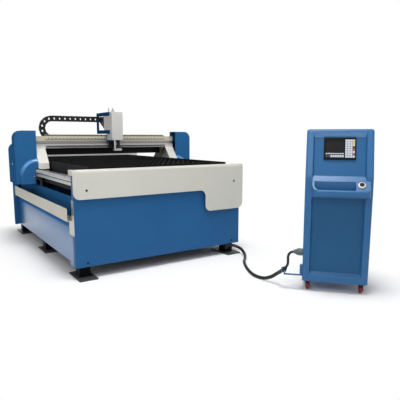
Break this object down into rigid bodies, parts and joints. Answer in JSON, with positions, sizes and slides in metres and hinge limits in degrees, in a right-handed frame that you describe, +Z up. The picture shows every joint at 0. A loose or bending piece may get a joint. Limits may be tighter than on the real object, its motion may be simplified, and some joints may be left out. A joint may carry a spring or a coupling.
{
  "type": "cnc plasma table",
  "caption": "Plasma cutting table with a slatted bed in blue panels, a travelling gantry with torch head and drag chain, and a control console on casters joined by a floor conduit.",
  "frame": {"origin": "centre of the four corner anchor holes, at floor level", "axes": "+X to the right along the front, +Y from the front to the back, +Z up"},
  "size_m": [2.1966, 4.1076, 1.54],
  "materials": {
    "blue_paint": "satin",
    "cream_paint": "satin",
    "white_paint": "satin",
    "grey_paint": "satin",
    "black_paint": "matte",
    "rail_metal": "satin",
    "bright_steel": "satin",
    "black_plastic": "matte",
    "panel_plastic": "gloss",
    "screen_glass": "gloss",
    "grey_plastic": "matte",
    "white_plastic": "gloss",
    "red_wheel": "satin",
    "torch_body": "satin"
  },
  "bodies": {
    "table": {"floor_pads": "black_paint", "frame_posts": "black_paint", "frame_rails": "black_paint", "front_panel": "blue_paint", "side_panels": "blue_paint", "rear_housing": "blue_paint", "front_apron": "cream_paint", "rear_apron": "cream_paint", "bed_tray": "black_paint", "slats": "black_paint", "rail_beams": "rail_metal", "table_rails": "bright_steel", "chain_trough": "cream_paint", "trough_bracket": "white_paint", "panel_screws": "black_paint", "cable_gland": "black_plastic", "console_shell": "blue_paint", "console_panels": "blue_paint", "console_back_panel": "blue_paint", "armrest": "blue_paint", "control_panel": "panel_plastic", "screen": "screen_glass", "stop_base": "white_plastic", "plug_hood": "grey_plastic", "cable_arm": "blue_paint", "drive_box": "grey_paint", "conduit": "black_plastic", "console_cable": "black_plastic"},
    "gantry": {"gantry_legs": "white_paint", "gantry_beam": "rail_metal", "beam_rails": "bright_steel", "tie_plate": "black_paint", "left_cover": "blue_paint", "right_cover": "blue_paint", "guide_blocks": "bright_steel", "y_motors": "black_paint", "chain_lower_run": "black_plastic"},
    "left_pinion": {"left_pinion": "bright_steel"},
    "right_pinion": {"right_pinion": "bright_steel"},
    "chain_bend": {"chain_lower_bend": "black_plastic"},
    "carriage": {"carriage_plate": "blue_paint", "chain_bracket": "blue_paint", "head_motors": "black_paint", "head_housing": "grey_paint", "chain_upper_run": "black_plastic"},
    "chain_head": {"chain_upper_bend": "black_plastic"},
    "x_pinion": {"x_pinion": "bright_steel"},
    "lift_screw": {"lift_screw": "bright_steel"},
    "lifter": {"lift_slide": "bright_steel", "torch_clamp": "rail_metal", "torch": "torch_body"},
    "stop_button": {"stop_button": "black_plastic"},
    "caster_front_left": {"fork_front_left": "black_paint"},
    "wheel_front_left": {"wheel_front_left": "red_wheel"},
    "caster_front_right": {"fork_front_right": "black_paint"},
    "wheel_front_right": {"wheel_front_right": "red_wheel"},
    "caster_rear_left": {"fork_rear_left": "black_paint"},
    "wheel_rear_left": {"wheel_rear_left": "red_wheel"},
    "caster_rear_right": {"fork_rear_right": "black_paint"},
    "wheel_rear_right": {"wheel_rear_right": "red_wheel"}
  },
  "joints": [
    {"name": "gantry_travel", "type": "slide", "parent": "table", "child": "gantry", "axis": [0, 1, 0], "range_m": [-1.1, 0.7]},
    {"name": "carriage_travel", "type": "slide", "parent": "gantry", "child": "carriage", "axis": [1, 0, 0], "range_m": [-0.66, 0.62], "deforming": ["chain_lower_run", "chain_upper_run"]},
    {"name": "torch_lift", "type": "slide", "parent": "carriage", "child": "lifter", "axis": [0, 0, 1], "range_m": [-0.06, 0.04]},
    {"name": "right_pinion_spin", "type": "hinge", "parent": "gantry", "child": "right_pinion", "pos_m": [0.9035, 0.215, 0.862], "axis": [0, 0, 1], "continuous": true},
    {"name": "left_pinion_spin", "type": "hinge", "parent": "gantry", "child": "left_pinion", "pos_m": [-0.9035, 0.215, 0.862], "axis": [0, 0, 1], "continuous": true},
    {"name": "x_pinion_spin", "type": "hinge", "parent": "carriage", "child": "x_pinion", "pos_m": [0.02, 0.129, 1.2735], "axis": [0, 1, 0], "continuous": true},
    {"name": "lift_screw_spin", "type": "hinge", "parent": "carriage", "child": "lift_screw", "pos_m": [0.02, -0.045, 1.3], "axis": [0, 0, 1], "continuous": true},
    {"name": "chain_bend_slide", "type": "slide", "parent": "gantry", "child": "chain_bend", "axis": [1, 0, 0], "range_m": [-0.33, 0.31]},
    {"name": "chain_head_slide", "type": "slide", "parent": "carriage", "child": "chain_head", "axis": [1, 0, 0], "range_m": [-0.31, 0.33]},
    {"name": "stop_press", "type": "slide", "parent": "table", "child": "stop_button", "axis": [0.5093, 0.4586, -0.7282], "range_m": [0, 0.006], "stiffness_N_per_m": 800, "springref_m": -0.003},
    {"name": "caster_front_left_swivel", "type": "hinge", "parent": "table", "child": "caster_front_left", "pos_m": [0.6098, -2.42355, 0.08], "axis": [0, 0, 1], "continuous": true},
    {"name": "wheel_front_left_roll", "type": "hinge", "parent": "caster_front_left", "child": "wheel_front_left", "pos_m": [0.62318, -2.41151, 0.03], "axis": [0.6691, -0.7431, 0], "continuous": true},
    {"name": "caster_front_right_swivel", "type": "hinge", "parent": "table", "child": "caster_front_right", "pos_m": [0.87879, -2.7223, 0.08], "axis": [0, 0, 1], "continuous": true},
    {"name": "wheel_front_right_roll", "type": "hinge", "parent": "caster_front_right", "child": "wheel_front_right", "pos_m": [0.89217, -2.71025, 0.03], "axis": [0.6691, -0.7431, 0], "continuous": true},
    {"name": "caster_rear_left_swivel", "type": "hinge", "parent": "table", "child": "caster_rear_left", "pos_m": [0.79856, -2.25359, 0.08], "axis": [0, 0, 1], "continuous": true},
    {"name": "wheel_rear_left_roll", "type": "hinge", "parent": "caster_rear_left", "child": "wheel_rear_left", "pos_m": [0.81193, -2.24155, 0.03], "axis": [0.6691, -0.7431, 0], "continuous": true},
    {"name": "caster_rear_right_swivel", "type": "hinge", "parent": "table", "child": "caster_rear_right", "pos_m": [1.06755, -2.55234, 0.08], "axis": [0, 0, 1], "continuous": true},
    {"name": "wheel_rear_right_roll", "type": "hinge", "parent": "caster_rear_right", "child": "wheel_rear_right", "pos_m": [1.08092, -2.54029, 0.03], "axis": [0.6691, -0.7431, 0], "continuous": true}
  ],
  "couplings": [
    {"joint": "right_pinion_spin", "follows": "gantry_travel", "rad_per_m": 25},
    {"joint": "left_pinion_spin", "follows": "gantry_travel", "rad_per_m": -25},
    {"joint": "x_pinion_spin", "follows": "carriage_travel", "rad_per_m": 25},
    {"joint": "chain_bend_slide", "follows": "carriage_travel", "ratio": 0.5},
    {"joint": "chain_head_slide", "follows": "carriage_travel", "ratio": -0.5},
    {"joint": "lift_screw_spin", "follows": "torch_lift", "rad_per_m": -628.32}
  ]
}
